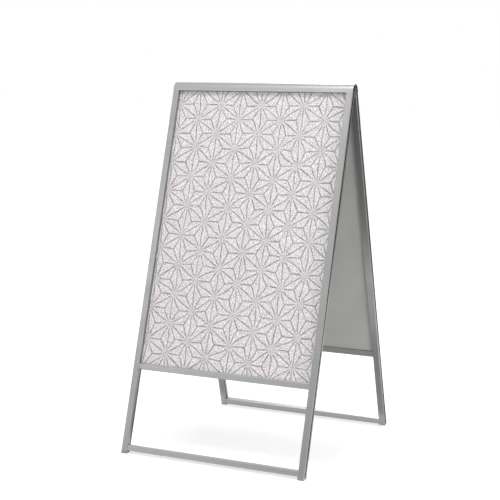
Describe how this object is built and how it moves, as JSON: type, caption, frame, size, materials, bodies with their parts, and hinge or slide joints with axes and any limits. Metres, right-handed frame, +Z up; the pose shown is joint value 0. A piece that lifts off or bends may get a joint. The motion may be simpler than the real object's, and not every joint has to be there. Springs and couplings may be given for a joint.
{
  "type": "a-frame sign",
  "caption": "Folding aluminium a-frame pavement sign: two framed leaves with patterned sheets on boards, joined at the top by a full-width interlocking hinge",
  "frame": {"origin": "on the floor, midway between the four feet", "axes": "+X across the sign's width to the viewer's right, +Y from the front leaf to the rear leaf, +Z up"},
  "size_m": [0.632, 0.7206, 1.1673],
  "materials": {
    "extrusion": "clear anodised extrusion, satin, with fine die lines along its length",
    "corner_plate": "mill finish, sawn edges",
    "board": "composite board, a polyethylene core between two thin grey coated aluminium skins, semi-matt",
    "sheet": "printed film, matt laminate, pale ground with a geometric hemp-leaf line pattern",
    "foot": "moulded grey polyethylene, fine matt texture",
    "screw": "dull zinc-plated steel, cross recess"
  },
  "bodies": {
    "front_leaf": {"front_hinge_rail": "extrusion", "front_left_stile": "extrusion", "front_right_stile": "extrusion", "front_panel_bar": "extrusion", "front_lower_bar": "extrusion", "front_board": "board", "front_sheet": "sheet", "front_left_foot": "foot", "front_right_foot": "foot", "front_left_corner_plate": "corner_plate", "front_right_corner_plate": "corner_plate", "front_panel_bar_screws": "screw", "front_lower_bar_screws": "screw", "front_corner_screws": "screw"},
    "rear_leaf": {"rear_hinge_rail": "extrusion", "rear_left_stile": "extrusion", "rear_right_stile": "extrusion", "rear_panel_bar": "extrusion", "rear_lower_bar": "extrusion", "rear_board": "board", "rear_sheet": "sheet", "rear_left_foot": "foot", "rear_right_foot": "foot", "rear_left_corner_plate": "corner_plate", "rear_right_corner_plate": "corner_plate", "rear_panel_bar_screws": "screw", "rear_lower_bar_screws": "screw", "rear_corner_screws": "screw"}
  },
  "joints": [
    {"name": "top_hinge", "type": "hinge", "parent": "front_leaf", "child": "rear_leaf", "pos_m": [0, 0, 1.14462], "axis": [-1, 0, 0], "range_deg": [0, 33]}
  ]
}
